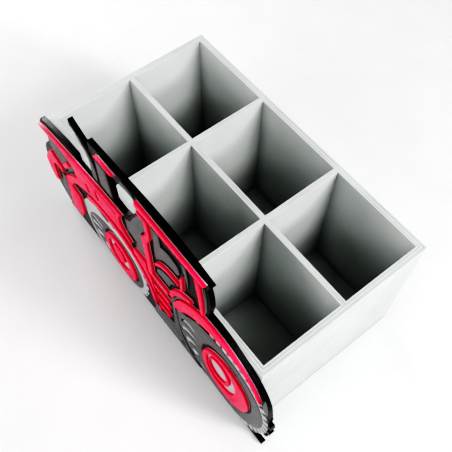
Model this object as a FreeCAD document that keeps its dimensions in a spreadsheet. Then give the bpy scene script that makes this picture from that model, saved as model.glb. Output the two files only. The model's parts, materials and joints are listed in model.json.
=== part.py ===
import FreeCAD, Part
import math
import os

# Six-compartment desk bin with a layered tractor relief on its long front side.
# Frame: X along the long side (tractor nose at -X), Y from the relief (-Y) to the
# back, Z up, underside on z = 0.  Every length is in millimetres.

DOC = FreeCAD.newDocument("TractorBin")

DIMENSIONS = [
    ("length", 150.0),
    ("width", 86.0),
    ("height", 76.0),
    ("wall", 3.2),
    ("divider", 2.6),
    ("floor", 4.4),
    ("mid_cell", 47.4),
    ("back_sheet", 2.4),
    ("pale_sheet", 0.3),
    ("dark_sheet", 0.3),
    ("inlay_dark", 0.6),
    ("inlay_red", 1.5),
]

SHEET = DOC.addObject("Spreadsheet::Sheet", "Sizes")
for row, (alias, value) in enumerate(DIMENSIONS, start=1):
    SHEET.set("A%d" % row, alias)
    SHEET.set("B%d" % row, str(value))
    SHEET.setAlias("B%d" % row, alias)
DOC.recompute()

PARTS = []


def keep(obj, label):
    """Mark a document object as one separate piece of the product."""
    obj.Label = label
    PARTS.append(obj)
    return obj


# ---------------------------------------------------------------- bin

def block(name, lengths, corner):
    """Box whose three lengths and corner position are sheet expressions."""
    box = DOC.addObject("Part::Box", name)
    for prop, expr in zip(("Length", "Width", "Height"), lengths):
        box.setExpression(prop, expr)
    for axis, expr in zip("xyz", corner):
        box.setExpression("Placement.Base." + axis, expr)
    return box


SHELL = block(
    "Shell",
    ("Sizes.length", "Sizes.width", "Sizes.height"),
    ("-Sizes.length / 2", "-Sizes.width / 2", "0 mm"),
)

END_CELL = "((Sizes.length - Sizes.mid_cell) / 2 - Sizes.wall - Sizes.divider)"
CELL_DEPTH = "((Sizes.width - Sizes.divider) / 2 - Sizes.wall)"
COLUMNS = [
    ("Left", END_CELL, "-Sizes.length / 2 + Sizes.wall"),
    ("Middle", "Sizes.mid_cell", "-Sizes.mid_cell / 2"),
    ("Right", END_CELL, "Sizes.mid_cell / 2 + Sizes.divider"),
]
ROWS = [
    ("Front", "-Sizes.width / 2 + Sizes.wall"),
    ("Back", "Sizes.divider / 2"),
]
POCKETS = []
for col, span, start in COLUMNS:
    for row, near in ROWS:
        POCKETS.append(
            block(
                "Pocket" + col + row,
                (span, CELL_DEPTH, "Sizes.height"),
                (start, near, "Sizes.floor"),
            )
        )
CORES = DOC.addObject("Part::MultiFuse", "Cores")
CORES.Shapes = POCKETS
BIN = DOC.addObject("Part::Cut", "Bin")
BIN.Base = SHELL
BIN.Tool = CORES
keep(BIN, "bin")


# ---------------------------------------------------------------- flat sheets

def outline(start, *steps):
    """Closed loop: a step is (x, z) for a line or (xm, zm, x, z) for an arc."""
    edges = []
    here = start
    for step in list(steps) + [start]:
        there = step[-2:]
        p = FreeCAD.Vector(here[0], here[1], 0)
        q = FreeCAD.Vector(there[0], there[1], 0)
        if len(step) == 4:
            edges.append(Part.Arc(p, FreeCAD.Vector(step[0], step[1], 0), q))
        elif (p - q).Length > 1e-6:
            edges.append(Part.LineSegment(p, q))
        here = there
    return edges


def ellipse(cx, cz, half_x, half_z):
    """Upright ellipse as one closed edge."""
    centre = FreeCAD.Vector(cx, cz, 0)
    if half_z > half_x:
        far = FreeCAD.Vector(cx, cz + half_z, 0)
        near = FreeCAD.Vector(cx - half_x, cz, 0)
    else:
        far = FreeCAD.Vector(cx + half_x, cz, 0)
        near = FreeCAD.Vector(cx, cz + half_z, 0)
    return [Part.Ellipse(far, near, centre)]


def on_ellipse(centre, half_x, half_z, degrees):
    """Point of an upright ellipse at a parametric angle."""
    a = math.radians(degrees)
    return (centre[0] + half_x * math.cos(a), centre[1] + half_z * math.sin(a))


def origin_plane(body, role):
    """Origin plane of a body found by its role."""
    return [f for f in body.Origin.OriginFeatures if f.Role == role][0]


def sheet_body(name, loops, thickness, lift):
    """Flat piece lying on the front side: loops extruded towards -Y."""
    body = DOC.addObject("PartDesign::Body", name)
    sketch = body.newObject("Sketcher::SketchObject", name + "Outline")
    sketch.AttachmentSupport = (origin_plane(body, "XZ_Plane"), "")
    sketch.MapMode = "FlatFace"
    for loop in loops:
        sketch.addGeometry(loop, False)
    pad = body.newObject("PartDesign::Pad", name + "Pad")
    pad.Profile = sketch
    pad.setExpression("Length", thickness)
    sketch.Visibility = False
    body.Tip = pad
    body.setExpression("Placement.Base.y", "-Sizes.width / 2 - (" + lift + ")")
    return body


ON_BACK = "Sizes.back_sheet"
ON_PALE = "Sizes.back_sheet + Sizes.pale_sheet"

# Wheel drawing: the tractor is shown in a three-quarter view, so each wheel is an
# upright ellipse with a crescent of tread on its nose side.
REAR = (59.3, 33.0)
FRONT = (-22.5, 22.2)
REAR_WALL = (23.2, 31.4)
FRONT_WALL = (16.6, 20.8)
REAR_CRESCENT = 34.0
FRONT_CRESCENT = 29.6
REAR_WELL = (58.4, 35.0, 17.0, 23.4)
FRONT_WELL = (-23.0, 24.4, 14.2, 18.4)
REAR_RIM = (58.5, 33.8, 15.5, 20.3)
FRONT_RIM = (-23.4, 23.4, 12.9, 16.6)


def right_half(centre, wall):
    """Right half of an upright ellipse, from its foot to its top."""
    c = FreeCAD.Vector(centre[0], centre[1], 0)
    up = FreeCAD.Vector(centre[0], centre[1] + wall[1], 0)
    side = FreeCAD.Vector(centre[0] - wall[0], centre[1], 0)
    return Part.ArcOfEllipse(Part.Ellipse(up, side, c), -math.pi, 0)


def left_half(centre, reach, half_z):
    """Left half of an ellipse that is wider than it is tall."""
    c = FreeCAD.Vector(centre[0], centre[1], 0)
    far = FreeCAD.Vector(centre[0] - reach, centre[1], 0)
    down = FreeCAD.Vector(centre[0], centre[1] - half_z, 0)
    return Part.ArcOfEllipse(Part.Ellipse(far, down, c), -math.pi / 2, math.pi / 2)


def lug_slot(centre, reach, half_z, tip, sweep, inner, breadth):
    """Curved bar of tread from the edge of a tyre in towards its side wall."""
    middle = 0.52 + 0.48 * inner

    def at(ratio, degrees):
        return on_ellipse(centre, ratio * reach, ratio * half_z, degrees)

    return outline(
        at(0.975, tip),
        at(middle, tip - 0.85 * sweep) + at(inner, tip - sweep),
        at(inner - 0.01, tip - sweep + breadth),
        at(middle - 0.02, tip - 0.85 * sweep + breadth) + at(0.97, tip + 0.55 * breadth),
    )


def toothed_edge(centre, inner, outer, first, pitch, count, finish):
    """Broken line of tread teeth running round an ellipse, then the finish points."""
    points = []
    for i in range(count):
        a = first + i * pitch
        points.append(on_ellipse(centre, outer[0], outer[1], a))
        points.append(on_ellipse(centre, outer[0], outer[1], a + 0.46 * pitch))
        points.append(on_ellipse(centre, inner[0], inner[1], a + 0.58 * pitch))
        points.append(on_ellipse(centre, inner[0], inner[1], a + 0.88 * pitch))
    return outline(*(points + list(finish)))


# ---------------------------------------------------------------- black back sheet

CAB_WINDOW = outline(
    (-15.8, 84.0),
    (-10.6, 82.8),
    (-5.4, 84.4),
    (-2.2, 90.0),
    (3.2, 99.6),
    (1.8, 107.0),
    (-7.0, 105.6),
    (-15.8, 103.6),
)

SILHOUETTE = outline(
    (-80.0, 0.0),
    (84.6, 0.0),
    (84.6, 3.0),
    (78.8, 3.0),
    (82.2, 15.0, 84.4, 28.0),
    (84.9, 40.0, 83.6, 54.0),
    (78.5, 67.2, 66.0, 76.6),
    (56.5, 80.8, 46.4, 81.8),
    (46.8, 85.0),
    (47.6, 96.0, 46.0, 104.0),
    (48.2, 109.6),
    (25.0, 113.4, -1.0, 112.6),
    (-27.6, 110.6),
    (-28.4, 104.6),
    (-33.4, 104.2),
    (-42.0, 109.2),
    (-42.4, 105.4),
    (-33.4, 99.0, -31.2, 88.0),
    (-32.4, 80.0),
    (-34.6, 76.0),
    (-34.6, 68.0),
    (-45.8, 68.0),
    (-46.6, 80.6),
    (-63.0, 78.4, -79.6, 73.6),
    (-83.0, 68.4),
    (-77.4, 66.0),
    (-77.6, 59.6),
    (-84.4, 51.0),
    (-90.4, 38.0, -90.0, 22.0),
    (-86.4, 12.0, -79.6, 3.0),
)
BACK_PLATE = sheet_body(
    "BackPlate", [SILHOUETTE, CAB_WINDOW], "Sizes.back_sheet", "0"
)

# Coarse tread blocks of the rear tyre that stand out past the side wall.
LUGS = []
for i in range(4):
    angle = -24.0 + 15.0 * i
    a = on_ellipse(REAR, 23.0, 31.0, angle)
    b = on_ellipse(REAR, 27.9, 33.6, angle + 1.5)
    c = on_ellipse(REAR, 27.9, 33.6, angle + 8.0)
    d = on_ellipse(REAR, 23.0, 31.0, angle + 8.5)
    LUGS.append(sheet_body("BackLug%d" % i, [outline(a, b, c, d)], ON_BACK, "0"))
BACK = DOC.addObject("Part::MultiFuse", "Back")
BACK.Shapes = [BACK_PLATE] + LUGS
keep(BACK, "back_sheet")


# ---------------------------------------------------------------- pale tread sheets

REAR_TREAD_LOOP = toothed_edge(
    REAR,
    (23.4, 32.6),
    (26.0, 37.4),
    -57.0,
    9.5,
    19,
    [
        on_ellipse(REAR, 33.2, 35.4, 128.0),
        on_ellipse(REAR, 33.2, 31.0, 152.0),
        on_ellipse(REAR, 33.4, 30.6, 180.0),
        on_ellipse(REAR, 33.2, 30.4, 208.0),
        on_ellipse(REAR, 33.2, 30.2, 232.0),
        (46.0, 1.6),
        (69.0, 1.6),
    ],
)
keep(
    sheet_body(
        "RearTread",
        [REAR_TREAD_LOOP, ellipse(*REAR_WELL)],
        "Sizes.pale_sheet",
        ON_BACK,
    ),
    "rear_tread",
)

FRONT_TREAD_LOOP = toothed_edge(
    FRONT,
    (19.4, 25.6),
    (21.0, 27.4),
    -52.0,
    15.5,
    11,
    [
        (-41.5, 46.6),
        (-50.0, 43.0),
        (-54.6, 36.0),
        (-55.6, 22.2),
        (-53.5, 11.0),
        (-47.0, 1.6),
        (-12.5, 1.6),
    ],
)
keep(
    sheet_body(
        "FrontTread",
        [FRONT_TREAD_LOOP, ellipse(*FRONT_WELL)],
        "Sizes.pale_sheet",
        ON_BACK,
    ),
    "front_tread",
)
keep(
    sheet_body("RearDisc", [ellipse(*REAR_RIM)], "Sizes.pale_sheet", ON_BACK),
    "rear_wheel_disc",
)
keep(
    sheet_body("FrontDisc", [ellipse(*FRONT_RIM)], "Sizes.pale_sheet", ON_BACK),
    "front_wheel_disc",
)


# ---------------------------------------------------------------- dark tyres

# The rear tyre reaches out to the underbody and the fender on its nose side.
REAR_EDGE = [right_half(REAR, REAR_WALL)] + outline(
    (59.3, 64.4),
    (43.0, 62.6, 31.4, 52.8),
    (24.2, 49.8),
    (24.3, 38.0, 25.8, 25.0),
    (38.0, 8.0, 59.3, 1.6),
)[:-1]
FRONT_EDGE = [
    right_half(FRONT, FRONT_WALL),
    left_half(FRONT, FRONT_CRESCENT, FRONT_WALL[1]),
]
REAR_SLOTS = []
for i in range(1, 6):
    tip = 147.0 + 20.5 * i - 0.55 * i * i
    inner = 0.68 + 0.035 * (i - 2.6) ** 2
    REAR_SLOTS.append(
        lug_slot(REAR, REAR_CRESCENT, REAR_WALL[1], tip, 22.0 - 3.2 * i, inner, 7.4)
    )
FRONT_SLOTS = [
    lug_slot(FRONT, FRONT_CRESCENT, FRONT_WALL[1], 156.0 + 24.0 * i, 12.0, 0.66, 13.0)
    for i in range(4)
]
for label, loops in (
    ("rear_tyre", [REAR_EDGE, ellipse(*REAR_WELL)] + REAR_SLOTS),
    ("front_tyre", [FRONT_EDGE, ellipse(*FRONT_WELL)] + FRONT_SLOTS),
):
    title = "".join(word.capitalize() for word in label.split("_"))
    keep(sheet_body(title, loops, "Sizes.dark_sheet", ON_PALE), label)


# ---------------------------------------------------------------- dark inlays

DARK_INLAYS = [
    (
        "exhaust_face",
        [
            outline(
                (-30.6, 84.0),
                (-27.2, 84.0),
                (-26.6, 94.0, -30.0, 102.6),
                (-36.8, 105.6),
                (-31.2, 99.0, -30.6, 90.0),
            )
        ],
    ),
    ("windscreen", [outline((-24.4, 85.4), (-16.4, 85.4), (-16.8, 103.0), (-23.8, 103.0))]),
    (
        "scuttle_cap",
        [outline((-5.2, 109.0), (3.2, 109.0), (3.0, 111.2), (-4.4, 111.0))],
    ),
    (
        "side_glass",
        [
            outline(
                (-8.6, 79.4),
                (-4.4, 82.6),
                (-0.9, 89.6),
                (4.2, 98.6),
                (5.4, 100.8),
                (8.4, 100.8),
                (8.4, 92.6),
                (4.4, 85.6),
                (4.4, 64.0),
                (-3.4, 64.0),
                (-1.6, 69.6),
                (-8.4, 71.0),
                (-8.2, 77.0),
            )
        ],
    ),
    (
        "seat",
        [
            outline(
                (13.2, 102.6),
                (18.0, 102.6),
                (18.4, 94.6),
                (24.0, 96.6, 28.6, 95.2),
                (29.8, 91.4, 28.0, 87.4),
                (21.6, 86.0, 16.4, 81.6),
                (13.0, 77.2),
                (12.8, 84.0),
                (13.6, 92.0),
            )
        ],
    ),
    (
        "door_glass",
        [
            outline(
                (12.0, 66.2),
                (16.8, 72.2, 25.8, 73.6),
                (22.4, 69.0, 20.9, 63.6),
                (12.0, 63.6),
            )
        ],
    ),
    (
        "cab_rear_bar",
        [outline((31.6, 102.4), (34.2, 102.4), (35.2, 94.0), (34.8, 86.6), (33.6, 93.6))],
    ),
    (
        "cab_rear_edge",
        [outline((44.8, 104.2), (46.2, 96.0), (46.2, 85.4), (45.4, 85.4), (45.2, 96.0))],
    ),
    (
        "fender_end",
        [
            outline(
                (80.8, 66.0),
                (82.6, 60.0, 83.4, 52.4),
                (81.6, 53.6),
                (80.2, 58.8),
            )
        ],
    ),
    (
        "grille",
        [
            outline(
                (-76.2, 65.4),
                (-73.0, 66.8),
                (-53.8, 66.2),
                (-53.4, 62.0),
                (-60.4, 53.6),
                (-67.0, 51.8),
                (-75.6, 55.4),
                (-77.0, 60.0),
            )
        ],
    ),
    (
        "underbody",
        [
            outline(
                (1.4, 1.6),
                (39.6, 1.6),
                (29.6, 12.0, 24.6, 27.0),
                (23.6, 36.0, 22.8, 51.5),
                (27.5, 64.2, 39.7, 77.4),
                (36.5, 76.7),
                (27.9, 67.8, 23.6, 57.6),
                (20.8, 57.6),
                (20.2, 22.0),
                (9.4, 16.6),
                (4.4, 18.0),
            ),
            ellipse(26.4, 8.4, 1.9, 1.6),
        ],
    ),
    (
        "front_bracket",
        [outline((-79.6, 20.0), (-74.8, 36.6), (-71.4, 36.6), (-73.4, 8.6), (-78.4, 6.0))],
    ),
]
for label, loops in DARK_INLAYS:
    title = "".join(word.capitalize() for word in label.split("_"))
    keep(sheet_body(title, loops, "Sizes.inlay_dark", ON_BACK), label)


# ---------------------------------------------------------------- red inlays

BONNET = outline(
    (-82.4, 68.4),
    (-76.0, 71.4),
    (-46.0, 77.0, -9.6, 80.4),
    (-13.0, 73.0, -10.6, 66.4),
    (-6.0, 62.6),
    (-22.0, 63.0, -41.0, 59.4),
    (-47.6, 55.4),
    (-55.0, 50.4, -61.6, 40.6),
    (-66.0, 44.4),
    (-58.4, 53.0, -50.4, 60.0),
    (-51.6, 68.8),
    (-58.0, 70.4, -72.6, 68.6),
)
LOUVRES = [
    outline((x, z), (x + 2.0, z + 0.6), (x + 0.8, z + 6.4), (x - 1.2, z + 5.8))
    for x, z in ((-40.4, 61.4), (-31.8, 65.8))
]
PANEL_LINE = outline((-31.0, 74.4), (-30.6, 75.4), (-14.4, 76.8), (-14.4, 75.6))

RED_INLAYS = [
    ("bonnet", [BONNET, PANEL_LINE] + LOUVRES),
    ("visor", [outline((-22.0, 108.0), (-10.6, 108.4), (-8.4, 110.0), (-19.8, 110.0))]),
    ("roof_rail", [outline((4.4, 107.4), (45.4, 107.4), (46.6, 110.0), (5.6, 111.2))]),
    (
        "door_frame",
        [
            outline(
                (5.6, 103.0),
                (9.8, 103.0),
                (9.8, 92.4),
                (5.6, 86.2),
                (5.6, 54.6),
                (19.6, 54.6),
                (20.0, 58.0),
                (9.4, 58.2),
                (9.4, 85.4),
                (12.4, 92.0),
                (12.4, 105.2),
                (6.0, 105.4),
            )
        ],
    ),
    (
        "seat_rail",
        [outline((12.6, 73.4), (18.6, 80.6, 29.4, 82.2), (29.4, 80.6), (19.6, 79.0, 14.0, 73.2))],
    ),
    ("cab_handle", [outline((30.6, 80.0), (32.2, 80.0), (32.8, 93.0), (31.0, 90.6))]),
    (
        "cab_sill_arc",
        [
            outline(
                (21.2, 58.4),
                (25.6, 70.2, 36.6, 79.0),
                (37.6, 77.8),
                (28.4, 69.4, 23.4, 58.4),
            )
        ],
    ),
    (
        "rear_fender",
        [
            outline(
                (23.2, 51.4),
                (31.6, 69.2, 44.4, 78.8),
                (66.4, 75.6, 79.6, 60.4),
                (77.4, 60.8),
                (67.4, 71.6, 54.0, 72.8),
                (39.0, 66.0, 27.6, 51.8),
            )
        ],
    ),
    (
        "rear_pillar",
        [
            outline(
                (40.4, 106.6),
                (43.0, 106.6),
                (44.4, 94.0),
                (44.8, 81.2),
                (43.4, 81.2),
                (42.4, 94.0),
            )
        ],
    ),
    ("step_top", [outline((8.6, 44.6), (19.4, 44.6), (19.6, 47.4), (8.2, 47.4))]),
    ("step_middle", [outline((9.8, 35.6), (19.0, 35.6), (19.2, 38.4), (9.4, 38.4))]),
    ("step_bottom", [outline((10.8, 26.6), (18.4, 26.6), (18.8, 29.4), (10.4, 29.4))]),
    (
        "step_rail",
        [
            outline(
                (-5.4, 58.8),
                (-4.2, 61.0),
                (4.4, 61.0),
                (4.4, 53.8),
                (6.6, 50.0),
                (8.8, 34.0),
                (10.8, 20.4),
                (9.0, 20.4),
                (6.4, 41.0, -5.4, 56.2),
            )
        ],
    ),
    (
        "front_fender",
        [
            outline(
                (-44.4, 53.0),
                (-20.0, 59.2, 0.6, 45.4),
                (5.6, 34.0, 6.8, 22.4),
                (4.4, 24.0),
                (3.0, 34.0, -2.2, 42.6),
                (-20.0, 54.8, -42.4, 50.2),
            )
        ],
    ),
    (
        "front_block",
        [
            outline(
                (-67.0, 44.0),
                (-61.0, 39.6),
                (-55.8, 37.6),
                (-57.4, 22.0),
                (-62.0, 11.6),
                (-71.8, 9.0),
                (-69.4, 24.0),
            )
        ],
    ),
    (
        "front_weight",
        [
            outline(
                (-77.2, 52.6),
                (-68.6, 48.6),
                (-69.0, 43.2),
                (-77.0, 43.4),
                (-80.6, 38.0),
                (-81.0, 23.6),
                (-85.4, 19.6),
                (-88.6, 27.0, -86.0, 41.0),
                (-82.0, 47.0, -77.2, 52.6),
            )
        ],
    ),
]
for label, loops in RED_INLAYS:
    title = "".join(word.capitalize() for word in label.split("_"))
    keep(sheet_body(title, loops, "Sizes.inlay_red", ON_BACK), label)

# Red pieces that stand on a pale disc or on the dark grille instead of the back.
ON_DARK = "Sizes.back_sheet + Sizes.inlay_dark"
RAISED_RED = [
    ("rear_rim", [ellipse(*REAR_RIM), ellipse(55.7, 35.2, 9.8, 15.3)], ON_PALE),
    (
        "rear_hub",
        [ellipse(54.4, 36.2, 7.2, 11.2), ellipse(53.8, 36.2, 5.9, 8.6)],
        ON_PALE,
    ),
    ("front_rim", [ellipse(*FRONT_RIM), ellipse(-24.2, 24.4, 8.6, 11.4)], ON_PALE),
    ("front_hub", [ellipse(-24.6, 25.0, 5.0, 7.4)], ON_PALE),
    (
        "grille_bar",
        [outline((-65.6, 53.6), (-59.6, 62.6), (-56.0, 62.6), (-62.0, 54.6))],
        ON_DARK,
    ),
]
for label, loops, seat in RAISED_RED:
    title = "".join(word.capitalize() for word in label.split("_"))
    rise = "Sizes.back_sheet + Sizes.inlay_red - (" + seat + ")"
    keep(sheet_body(title, loops, rise, seat), label)


# ---------------------------------------------------------------- build and export

DOC.recompute()
for item in DOC.Objects:
    for bad in ("Invalid", "Error"):
        if bad in item.State:
            raise RuntimeError("%s is %s" % (item.Name, bad))
for piece in PARTS:
    shape = piece.Shape
    if shape.isNull() or not shape.isValid() or len(shape.Solids) != 1:
        raise RuntimeError("%s has no single valid solid" % piece.Label)

os.makedirs("parts", exist_ok=True)
for piece in PARTS:
    piece.Shape.exportStep("parts/%s.step" % piece.Label)
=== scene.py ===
import json
import math

import bmesh
import bpy
from mathutils import Matrix, Vector
from mathutils.geometry import tessellate_polygon
from mathutils.noise import noise


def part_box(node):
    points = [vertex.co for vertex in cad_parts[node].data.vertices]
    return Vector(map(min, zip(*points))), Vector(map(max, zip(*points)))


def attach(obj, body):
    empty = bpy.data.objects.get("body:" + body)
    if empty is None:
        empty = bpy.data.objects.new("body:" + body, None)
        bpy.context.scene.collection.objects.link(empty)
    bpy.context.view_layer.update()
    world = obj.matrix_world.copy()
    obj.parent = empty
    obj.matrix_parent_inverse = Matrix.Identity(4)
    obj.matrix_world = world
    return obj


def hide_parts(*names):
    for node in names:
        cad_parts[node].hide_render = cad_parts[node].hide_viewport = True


# Printed six-compartment desk bin with a layered tractor relief on its long side.
# Everything is in metres in the CAD frame; MM turns millimetres into metres.

MM = 0.001
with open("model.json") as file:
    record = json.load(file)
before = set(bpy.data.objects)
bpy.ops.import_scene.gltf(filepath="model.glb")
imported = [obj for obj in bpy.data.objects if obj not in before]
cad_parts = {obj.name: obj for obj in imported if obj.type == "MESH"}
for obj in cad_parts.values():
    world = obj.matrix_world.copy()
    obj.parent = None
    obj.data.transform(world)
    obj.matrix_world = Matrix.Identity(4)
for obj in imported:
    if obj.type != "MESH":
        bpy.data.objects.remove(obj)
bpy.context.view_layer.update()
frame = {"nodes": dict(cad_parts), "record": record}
scene = bpy.context.scene


# ---------------------------------------------------------------- camera

# Viewing direction in degrees (turned from -Y towards +X, raised, rolled), place in mm.
CAMERA_TURN, CAMERA_RISE, CAMERA_ROLL = 51.42, 61.03, 0.66
CAMERA_PLACE = (114.874, -94.929, 296.567)
SENSOR, LENS = 36.0, 49.69
SHIFT = (0.0127, 0.0190)


def add_camera():
    """Camera at the picture's viewing angle, high over the right front corner."""
    azimuth, elevation, roll = map(
        math.radians, (CAMERA_TURN, CAMERA_RISE, CAMERA_ROLL)
    )
    back = Vector(
        (
            math.sin(azimuth) * math.cos(elevation),
            -math.cos(azimuth) * math.cos(elevation),
            math.sin(elevation),
        )
    )
    level = Vector((math.cos(azimuth), math.sin(azimuth), 0))
    above = back.cross(level)
    right = math.cos(roll) * level + math.sin(roll) * above
    up = -math.sin(roll) * level + math.cos(roll) * above
    data = bpy.data.cameras.new("camera")
    camera = bpy.data.objects.new("camera", data)
    scene.collection.objects.link(camera)
    place = Matrix((right, up, back)).transposed().to_4x4()
    place.translation = Vector(CAMERA_PLACE) * MM
    camera.matrix_world = place
    data.sensor_width = SENSOR
    data.lens = LENS
    data.shift_x, data.shift_y = SHIFT
    data.clip_start = 0.01
    data.clip_end = 30.0
    scene.camera = camera


add_camera()


# ---------------------------------------------------------------- node helpers

class Nodes:
    """Short way to build a procedural material."""

    def __init__(self, name):
        self.material = bpy.data.materials.new(name)
        self.material.use_nodes = True
        self.tree = self.material.node_tree
        self.shader = self.tree.nodes["Principled BSDF"]

    def add(self, kind, **settings):
        node = self.tree.nodes.new(kind)
        for key, value in settings.items():
            if key in node.inputs:
                node.inputs[key].default_value = value
            else:
                setattr(node, key, value)
        return node

    def link(self, output, target):
        self.tree.links.new(output, target)

    def math(self, operation, a, b=None):
        node = self.add("ShaderNodeMath", operation=operation)
        for socket, value in zip(node.inputs, (a, b)):
            if value is None:
                continue
            if isinstance(value, (int, float)):
                socket.default_value = value
            else:
                self.link(value, socket)
        return node.outputs[0]

    def ramp(self, source, stops):
        node = self.add("ShaderNodeValToRGB")
        self.link(source, node.inputs[0])
        elements = node.color_ramp.elements
        while len(elements) < len(stops):
            elements.new(0.5)
        for element, (position, colour) in zip(elements, stops):
            element.position = position
            element.color = (*colour, 1.0)
        return node.outputs[0]

    def position(self):
        return self.add("ShaderNodeTexCoord").outputs["Object"]

    def noise(self, vector, scale, detail=3.0, roughness=0.5):
        node = self.add(
            "ShaderNodeTexNoise", Scale=scale, Detail=detail, Roughness=roughness
        )
        self.link(vector, node.inputs["Vector"])
        return node.outputs["Fac"]

    def stretch(self, vector, scale, turn):
        node = self.add("ShaderNodeMapping")
        node.inputs["Scale"].default_value = scale
        node.inputs["Rotation"].default_value = turn
        self.link(vector, node.inputs["Vector"])
        return node.outputs[0]

    def bump(self, height, strength, distance, below=None):
        node = self.add("ShaderNodeBump", Strength=strength, Distance=distance)
        self.link(height, node.inputs["Height"])
        if below is not None:
            self.link(below, node.inputs["Normal"])
        return node.outputs[0]


def shade(colour, factor):
    return tuple(min(1.0, c * factor) for c in colour)


# Noise scales per metre, heights in metres, shared by every plastic.
PATCH_SCALE, DULL_SCALE, GRAIN_SCALE, THREAD_SCALE = 60.0, 900.0, 2600.0, 340.0
THREAD_HEIGHT, GRAIN_HEIGHT = 0.05 * MM, 0.02 * MM
GRAIN_STRENGTH = 0.5
ROUGHNESS_SPREAD = 0.07
# Reach in metres of the painted corner shade: how far the occlusion looks for nearby
# surfaces.
PAINTED_SHADE_REACH = 7.0 * MM


def printed_plastic(name, colour, roughness, specular, mottle=0.06, thread=0.25,
                    painted_corner_shade=0.0):
    """Extruded plastic: faint mottling, surface threads, fine grain, and painted shade
    that darkens the colour in corners and creases.
    """
    n = Nodes(name)
    place = n.position()
    patch = n.noise(place, PATCH_SCALE, 4.0, 0.55)
    tone = n.ramp(
        patch,
        [(0.30, shade(colour, 1.0 - mottle)), (0.70, shade(colour, 1.0 + mottle))],
    )
    # Painted shade: ambient occlusion darkens the base colour in corners and creases, by
    # up to the given fraction.
    if painted_corner_shade:
        corner_occlusion = n.add("ShaderNodeAmbientOcclusion", samples=8, Distance=PAINTED_SHADE_REACH)
        dark = n.math("ADD", n.math("MULTIPLY", corner_occlusion.outputs["AO"], painted_corner_shade), 1.0 - painted_corner_shade)
        scaled = n.add("ShaderNodeVectorMath", operation="SCALE")
        n.link(tone, scaled.inputs[0])
        n.link(dark, scaled.inputs["Scale"])
        tone = scaled.outputs[0]
    n.link(tone, n.shader.inputs["Base Color"])
    dull = n.noise(place, DULL_SCALE, 2.0, 0.6)
    rough = n.add("ShaderNodeMapRange")
    rough.inputs["From Min"].default_value = 0.3
    rough.inputs["From Max"].default_value = 0.7
    rough.inputs["To Min"].default_value = roughness - ROUGHNESS_SPREAD
    rough.inputs["To Max"].default_value = roughness + ROUGHNESS_SPREAD
    n.link(dull, rough.inputs["Value"])
    n.link(rough.outputs[0], n.shader.inputs["Roughness"])
    n.shader.inputs["Specular IOR Level"].default_value = specular
    wave = n.add("ShaderNodeTexWave", wave_type="BANDS", bands_direction="X")
    wave.inputs["Scale"].default_value = 1.0
    wave.inputs["Distortion"].default_value = 0.6
    wave.inputs["Detail"].default_value = 1.0
    turned = n.stretch(place, (THREAD_SCALE,) * 3, (0.0, math.radians(45), 0.0))
    n.link(turned, wave.inputs["Vector"])
    threads = n.bump(wave.outputs["Fac"], thread, THREAD_HEIGHT)
    speck = n.noise(place, GRAIN_SCALE, 2.0, 0.6)
    surface = n.bump(speck, GRAIN_STRENGTH, GRAIN_HEIGHT, threads)
    n.link(surface, n.shader.inputs["Normal"])
    return n.material


BIN_GREY = printed_plastic(
    "bin_grey_print",
    (0.388, 0.408, 0.396),
    0.5,
    specular=0.3,
    thread=0.1,
    # Painted shade darkens the bin's colour by up to half in its corners and creases.
    painted_corner_shade=0.5,
)
BLACK = printed_plastic("black_print", (0.002, 0.002, 0.002), 0.34, 0.02, mottle=0.2)
PALE = printed_plastic("pale_print", (0.31, 0.30, 0.31), 0.5, 0.1)
DARK = printed_plastic("dark_print", (0.050, 0.050, 0.050), 0.42, 0.05, mottle=0.12)
RED = printed_plastic("red_print", (0.70, 0.008, 0.042), 0.36, 0.03, mottle=0.05)
SLOT_LOOKS = {
    "bin_plastic": BIN_GREY,
    "black_plastic": BLACK,
    "pale_plastic": PALE,
    "dark_plastic": DARK,
    "red_plastic": RED,
}


# ---------------------------------------------------------------- mesh helpers

def finish_mesh(name, mesh, materials, angle=35.0):
    """Turn a mesh into a shown piece with smooth shading and sharp creases."""
    for material in materials:
        mesh.materials.append(material)
    mesh.shade_smooth()
    mesh.set_sharp_from_angle(angle=math.radians(angle))
    piece = bpy.data.objects.new(name, mesh)
    scene.collection.objects.link(piece)
    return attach(piece, "root")


# ---------------------------------------------------------------- bin

LENGTH, WIDTH, HEIGHT = 150.0, 86.0, 76.0
WALL, DIVIDER, FLOOR, MID_CELL = 3.2, 2.6, 4.4, 47.4
LAYER, RIDGE = 0.25, 0.022
BEAD = 0.45
GRID_STEP = 4.0

COLUMNS = [
    (-LENGTH / 2 + WALL, -MID_CELL / 2 - DIVIDER),
    (-MID_CELL / 2, MID_CELL / 2),
    (MID_CELL / 2 + DIVIDER, LENGTH / 2 - WALL),
]
ROWS = [(-WIDTH / 2 + WALL, -DIVIDER / 2), (DIVIDER / 2, WIDTH / 2 - WALL)]
CELLS = [(x0, y0, x1, y1) for x0, x1 in COLUMNS for y0, y1 in ROWS]

# Cross profile of a rim, as (distance from the edge, height): a rounded edge, two
# threads that follow the edge, then a gap and the threads that fill the middle.
RIM_PROFILE = [
    (0.00, -0.16),
    (0.05, -0.07),
    (0.14, -0.015),
    (0.24, 0.0),
    (0.38, -0.012),
    (0.45, -0.055),
    (0.52, -0.012),
    (0.66, 0.0),
    (0.80, -0.012),
    (0.86, -0.10),
    (0.91, -0.30),
    (0.96, -0.30),
    (1.01, -0.10),
    (1.08, -0.03),
]


# Distances from the edge between which the groove varies along the rim.
GROOVE = (0.82, 1.03)


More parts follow.
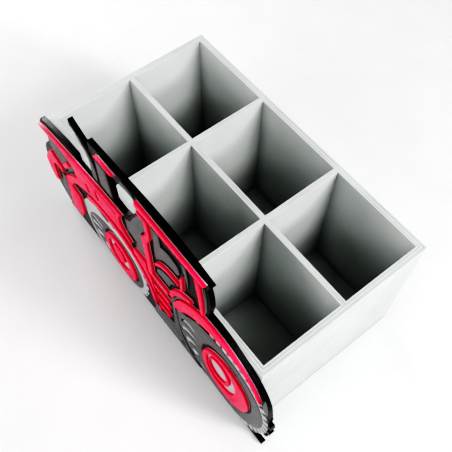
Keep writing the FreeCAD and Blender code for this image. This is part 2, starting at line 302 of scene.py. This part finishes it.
def breakpoints(size, bands, spans):
    """Grid lines across every wall band and at even steps along every cell."""
    lines = {-size / 2, size / 2}
    for a, b in bands:
        half = (b - a) / 2
        for d, _ in RIM_PROFILE:
            if d < half - 0.02:
                lines.add(round(a + d, 4))
                lines.add(round(b - d, 4))
        lines.add(round((a + b) / 2, 4))
    for a, b in spans:
        count = max(1, round((b - a) / GRID_STEP))
        for i in range(count + 1):
            lines.add(round(a + (b - a) * i / count, 4))
    return sorted(lines)


def bands_between(spans, size):
    """Wall bands left and right of every cell span, over the whole size."""
    starts = [-size / 2] + [span[1] for span in spans]
    ends = [span[0] for span in spans] + [size / 2]
    return list(zip(starts, ends))


X_BANDS = bands_between(COLUMNS, LENGTH)
Y_BANDS = bands_between(ROWS, WIDTH)


def edge_distance(x, y):
    """Distance in mm from a point of the rim to the rim's nearest edge."""
    best = min(LENGTH / 2 - abs(x), WIDTH / 2 - abs(y))
    for x0, y0, x1, y1 in CELLS:
        best = min(best, max(x0 - x, x - x1, y0 - y, y - y1))
    return max(best, 0.0)


def rim_height(x, y):
    """Height in mm of the top threads at a point, 0 at the nominal rim."""
    d = edge_distance(x, y)
    far = RIM_PROFILE[-1]
    if d >= far[0]:
        base = -0.02 - 0.05 * abs(math.sin(math.pi * (d - far[0]) / BEAD))
    else:
        base = 0.0
        for (d0, h0), (d1, h1) in zip(RIM_PROFILE, RIM_PROFILE[1:]):
            if d0 <= d <= d1:
                base = h0 + (h1 - h0) * (d - d0) / (d1 - d0)
                break
    if GROOVE[0] < d < GROOVE[1]:
        open_gap = noise(Vector((x * 0.05, y * 0.05, 3.1)))
        strength = 0.55 + 1.6 * open_gap
        if x > LENGTH / 2 - WALL:
            strength = 1.0 + 0.4 * open_gap
        base *= max(0.12, min(1.0, strength))
    base += 0.012 * noise(Vector((x * 0.35, y * 0.35, 0.0)))
    return min(base, 0.0)


def bin_mesh():
    """Closed mesh of the bin: threaded rim, layered walls, flat floors."""
    mesh = bmesh.new()
    xs = breakpoints(LENGTH, X_BANDS, COLUMNS)
    ys = breakpoints(WIDTH, Y_BANDS, ROWS)
    top = {}

    def rim_vertex(i, j):
        if (i, j) not in top:
            x, y = xs[i], ys[j]
            z = HEIGHT + rim_height(x, y)
            top[i, j] = mesh.verts.new((x * MM, y * MM, z * MM))
        return top[i, j]

    for i in range(len(xs) - 1):
        for j in range(len(ys) - 1):
            x, y = (xs[i] + xs[i + 1]) / 2, (ys[j] + ys[j + 1]) / 2
            inside = any(x0 < x < x1 and y0 < y < y1 for x0, y0, x1, y1 in CELLS)
            if inside:
                continue
            mesh.faces.new(
                (
                    rim_vertex(i, j),
                    rim_vertex(i + 1, j),
                    rim_vertex(i + 1, j + 1),
                    rim_vertex(i, j + 1),
                )
            )

    def edge_run(x0, y0, x1, y1):
        """Rim vertices on the four sides of a rectangle, counter-clockwise."""
        i0, i1 = xs.index(round(x0, 4)), xs.index(round(x1, 4))
        j0, j1 = ys.index(round(y0, 4)), ys.index(round(y1, 4))
        return [
            [top[i, j0] for i in range(i0, i1 + 1)],
            [top[i1, j] for j in range(j0, j1 + 1)],
            [top[i, j1] for i in range(i1, i0 - 1, -1)],
            [top[i0, j] for j in range(j1, j0 - 1, -1)],
        ]

    def wall(x0, y0, x1, y1, bottom, outward):
        """Layered wall under a rectangle; returns its lowest ring of vertices."""
        sides = edge_run(x0, y0, x1, y1)
        sign = -1.0 if outward else 1.0
        upper = None
        count = round((HEIGHT - bottom) / LAYER)
        for k in range(2 * count - 1, -1, -1):
            z = bottom + (HEIGHT - bottom) * k / (2 * count)
            s = sign * RIDGE if k % 2 == 0 and k > 0 else 0.0
            ring = [
                mesh.verts.new((px * MM, py * MM, z * MM))
                for px, py in (
                    (x0 - s, y0 - s),
                    (x1 + s, y0 - s),
                    (x1 + s, y1 + s),
                    (x0 - s, y1 + s),
                )
            ]
            for n in range(4):
                m = (n + 1) % 4
                if upper is None:
                    loop = [ring[n], ring[m]] + list(reversed(sides[n]))
                else:
                    loop = [ring[n], ring[m], upper[m], upper[n]]
                if not outward:
                    loop.reverse()
                mesh.faces.new(loop)
            upper = ring
        return upper

    base = wall(-LENGTH / 2, -WIDTH / 2, LENGTH / 2, WIDTH / 2, 0.0, True)
    mesh.faces.new(list(reversed(base)))
    for cell in CELLS:
        mesh.faces.new(wall(*cell, FLOOR, False))
    made = bpy.data.meshes.new("bin_body")
    mesh.to_mesh(made)
    mesh.free()
    return made


bin_body = finish_mesh("bin_body", bin_mesh(), [BIN_GREY])
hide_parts("bin")


# ---------------------------------------------------------------- relief pieces

SHEET_LAYER, SHEET_RIDGE = 0.2 * MM, 0.02 * MM
EDGE_ROUND = 0.22 * MM
FOOT = 0.3 * MM
FOOT_FROM = 1.4 * MM


def front_loops(node):
    """Outline loops (x, z) of a CAD sheet's front face, solid side on the left."""
    mesh = node.data
    low = min(v.co.y for v in mesh.vertices)

    def key(v):
        return (round(v.co.x * 1e6), round(v.co.z * 1e6))

    sides = {}
    for polygon in mesh.polygons:
        vertices = [mesh.vertices[i] for i in polygon.vertices]
        if max(v.co.y for v in vertices) > low + 1e-6:
            continue
        keys = [key(v) for v in vertices]
        for a, b in zip(keys, keys[1:] + keys[:1]):
            if (b, a) in sides:
                del sides[b, a]
            else:
                sides[a, b] = True
    after = {a: b for a, b in sides}
    loops = []
    while after:
        start, here = next(iter(after.items()))
        loop = [start]
        del after[start]
        while here != start:
            loop.append(here)
            here = after.pop(here)
        loops.append([Vector((x * 1e-6, z * 1e-6)) for x, z in loop])
    return loops


def area(loop):
    """Signed area of a loop, positive when it runs counter-clockwise."""
    return sum(a.x * b.y - b.x * a.y for a, b in zip(loop, loop[1:] + loop[:1])) / 2


def moved_in(loop, distance):
    """The loop moved towards its solid side by a distance, corners mitred."""
    out = []
    for before, here, after in zip(loop[-1:] + loop[:-1], loop, loop[1:] + loop[:1]):
        u, v = (here - before).normalized(), (after - here).normalized()
        n, m = Vector((-u.y, u.x)), Vector((-v.y, v.x))
        middle = n + m
        if middle.length < 1e-3:
            out.append(here.copy())
            continue
        middle.normalize()
        stretch = min(1.8, 1.0 / max(0.3, middle.dot(n)))
        out.append(here + middle * distance * stretch)
    return out


def relief_mesh(name, loops, back, front, foot, round_off):
    """Flat piece with layered sides and a rounded front edge.

    back and front are Y in metres; the first `foot` metres of the side take the
    second material.
    """
    mesh = bmesh.new()
    depth = back - front
    steps = [(back, 0.0)]
    if foot:
        steps += [(back - foot, 0.0)]
    count = max(1, round((depth - foot - round_off) / SHEET_LAYER))
    start = back - foot
    for k in range(1, 2 * count):
        y = start - (depth - foot - round_off) * k / (2 * count)
        steps.append((y, SHEET_RIDGE if k % 2 else 0.0))
    for turn in (0.0, 30.0, 60.0, 90.0):
        t = math.radians(turn)
        steps.append(
            (front + round_off * (1 - math.sin(t)), round_off * (1 - math.cos(t)))
        )
    rings = []
    for loop in loops:
        column = []
        for y, inset in steps:
            column.append([mesh.verts.new((p.x, y, p.y)) for p in moved_in(loop, inset)])
        size = len(loop)
        for k in range(len(steps) - 1):
            for i in range(size):
                j = (i + 1) % size
                face = mesh.faces.new(
                    (column[k][i], column[k][j], column[k + 1][j], column[k + 1][i])
                )
                face.material_index = 1 if foot and k == 0 else 0
        rings.append(column)
    for level, flip in ((0, True), (len(steps) - 1, False)):
        chains = [column[level] for column in rings]
        flat = [v for chain in chains for v in chain]
        points = [[Vector((v.co.x, v.co.z, 0.0)) for v in chain] for chain in chains]
        for a, b, c in tessellate_polygon(points):
            corner = (flat[a], flat[b], flat[c])
            p, q, r = (Vector((v.co.x, v.co.z)) for v in corner)
            turn = (q - p).x * (r - p).y - (q - p).y * (r - p).x
            if (turn < 0) != flip:
                corner = tuple(reversed(corner))
            try:
                face = mesh.faces.new(corner)
            except ValueError:
                continue
            face.material_index = 1 if foot and flip else 0
    made = bpy.data.meshes.new(name)
    mesh.to_mesh(made)
    mesh.free()
    return made


def add_relief():
    """Replace every flat CAD piece by a printed one of the same outline."""
    slots = {row["node"]: row["material_slot"] for row in frame["record"]["subparts"]}
    for label, node in frame["nodes"].items():
        if label == "bin":
            continue
        slot = slots[label]
        low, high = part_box(label)
        loops = front_loops(node)
        if area(max(loops, key=lambda loop: abs(area(loop)))) < 0:
            loops = [list(reversed(loop)) for loop in loops]
        thick = high.y - low.y
        foot = FOOT if slot == "red_plastic" and thick > FOOT_FROM else 0.0
        round_off = min(EDGE_ROUND, 0.4 * thick)
        mesh = relief_mesh(label + "_print", loops, high.y, low.y, foot, round_off)
        piece = finish_mesh(label + "_print", mesh, [SLOT_LOOKS[slot], PALE], 50.0)
        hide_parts(label)


add_relief()


# ---------------------------------------------------------------- stage and light

# Paper sweep, in metres: flat radius, bend radius, top of the wall.
FLAT, BEND, WALL_TOP = 2.2, 0.8, 2.6
BEND_STEPS, ROUND_STEPS = 12, 96


def add_floor():
    """Seamless white paper: a table that curves up into a wall all round."""
    n = Nodes("paper")
    speck = n.noise(n.position(), 40.0, 3.0)
    tone = n.ramp(speck, [(0.3, (0.53, 0.53, 0.535)), (0.7, (0.55, 0.55, 0.555))])
    n.link(tone, n.shader.inputs["Base Color"])
    n.shader.inputs["Roughness"].default_value = 0.8
    n.shader.inputs["Specular IOR Level"].default_value = 0.2
    bend = [math.radians(90 * k / BEND_STEPS) for k in range(BEND_STEPS + 1)]
    profile = [(FLAT + BEND * math.sin(t), BEND * (1 - math.cos(t))) for t in bend]
    profile.append((FLAT + BEND, WALL_TOP))
    around = [math.radians(360 * k / ROUND_STEPS) for k in range(ROUND_STEPS)]
    points = [
        (r * math.cos(a), r * math.sin(a), z) for r, z in profile for a in around
    ]
    faces = [tuple(range(ROUND_STEPS))]
    for row in range(len(profile) - 1):
        for k in range(ROUND_STEPS):
            after = (k + 1) % ROUND_STEPS
            low, high = row * ROUND_STEPS, (row + 1) * ROUND_STEPS
            faces.append((low + after, low + k, high + k, high + after))
    mesh = bpy.data.meshes.new("floor")
    mesh.from_pydata(points, [], faces)
    mesh.materials.append(n.material)
    mesh.shade_smooth()
    floor = bpy.data.objects.new("floor", mesh)
    scene.collection.objects.link(floor)


def add_area_light(name, size, watts, place, facing):
    """Disc light at a place; facing is the direction that it shines away from."""
    data = bpy.data.lights.new(name, "AREA")
    data.shape = "DISK"
    data.size = size
    data.energy = watts
    lamp = bpy.data.objects.new(name, data)
    scene.collection.objects.link(lamp)
    lamp.location = place
    lamp.rotation_mode = "QUATERNION"
    lamp.rotation_quaternion = facing.to_track_quat("Z", "Y")


def add_softbox(name, azimuth, elevation, size, watts):
    """Light aimed at the bin; azimuth is measured from +X towards +Y."""
    a, e = math.radians(azimuth), math.radians(elevation)
    away = Vector((math.cos(a) * math.cos(e), math.sin(a) * math.cos(e), math.sin(e)))
    add_area_light(name, size, watts, away * LIGHT_DISTANCE, away)


def add_washer(name, azimuth):
    """Wide light above the set that faces outwards and brightens the paper wall."""
    a = math.radians(azimuth)
    outward = Vector((math.cos(a), math.sin(a), WASHER_TILT))
    place = (WASHER_OUT * math.cos(a), WASHER_OUT * math.sin(a), WASHER_HEIGHT)
    add_area_light(name, WASHER_SIZE, WASHER_WATTS, place, -outward)


def add_world(strength):
    """Faint even light from all round."""
    world = bpy.data.worlds.new("studio")
    world.use_nodes = True
    background = world.node_tree.nodes["Background"]
    background.inputs["Color"].default_value = (1, 1, 1, 1)
    background.inputs["Strength"].default_value = strength
    scene.world = world


# Tone curve points: (brightness in the scene, brightness shown), both linear.
TONE = [
    (0.00, 0.00),
    (0.02, 0.005),
    (0.05, 0.035),
    (0.11, 0.15),
    (0.27, 0.42),
    (0.49, 0.64),
    (0.79, 0.84),
    (1.00, 1.00),
]


COMBINED = 3


def set_tone():
    """Contrast curve of the picture, darker in the shadows and open in the middle."""
    view = scene.view_settings
    view.view_transform = "Standard"
    view.use_curve_mapping = True
    mapping = view.curve_mapping
    curve = mapping.curves[COMBINED]
    while len(curve.points) < len(TONE):
        curve.points.new(0.5, 0.5)
    for point, (source, shown) in zip(curve.points, TONE):
        point.location = (source, shown)
    mapping.update()


# Lights in metres and watts: distance from the bin, then what lights the wall.
LIGHT_DISTANCE = 0.9
WASHER_WATTS, WASHER_SIZE = 22.0, 0.8
WASHER_OUT, WASHER_HEIGHT, WASHER_TILT = 0.6, 1.3, 0.1
WORLD_STRENGTH = 0.04

# name, azimuth, elevation, size in metres, watts
SOFTBOXES = [
    ("key", 20.0, 45.0, 0.20, 2.6),
    ("key_soft", 10.0, 45.0, 0.30, 2.3),
    ("key_low", 20.0, 25.0, 0.20, 6.4),
    ("key_high", 20.0, 62.0, 0.20, 0.9),
    ("key_side", -25.0, 45.0, 0.20, 0.45),
    ("right", 0.0, 48.0, 0.50, 1.4),
    ("front", -90.0, 35.0, 0.50, 2.2),
    ("front_low", -90.0, 12.0, 0.50, 3.0),
    ("left", 180.0, 35.0, 0.50, 1.0),
    ("left_low", 180.0, 12.0, 0.50, 13.8),
    ("back", 90.0, 50.0, 0.50, 0.8),
]
add_floor()
for softbox in SOFTBOXES:
    add_softbox(*softbox)
for name, azimuth in (("wall_back", 90.0), ("wall_left", 210.0), ("wall_right", 330.0)):
    add_washer(name, azimuth)
add_world(WORLD_STRENGTH)
set_tone()
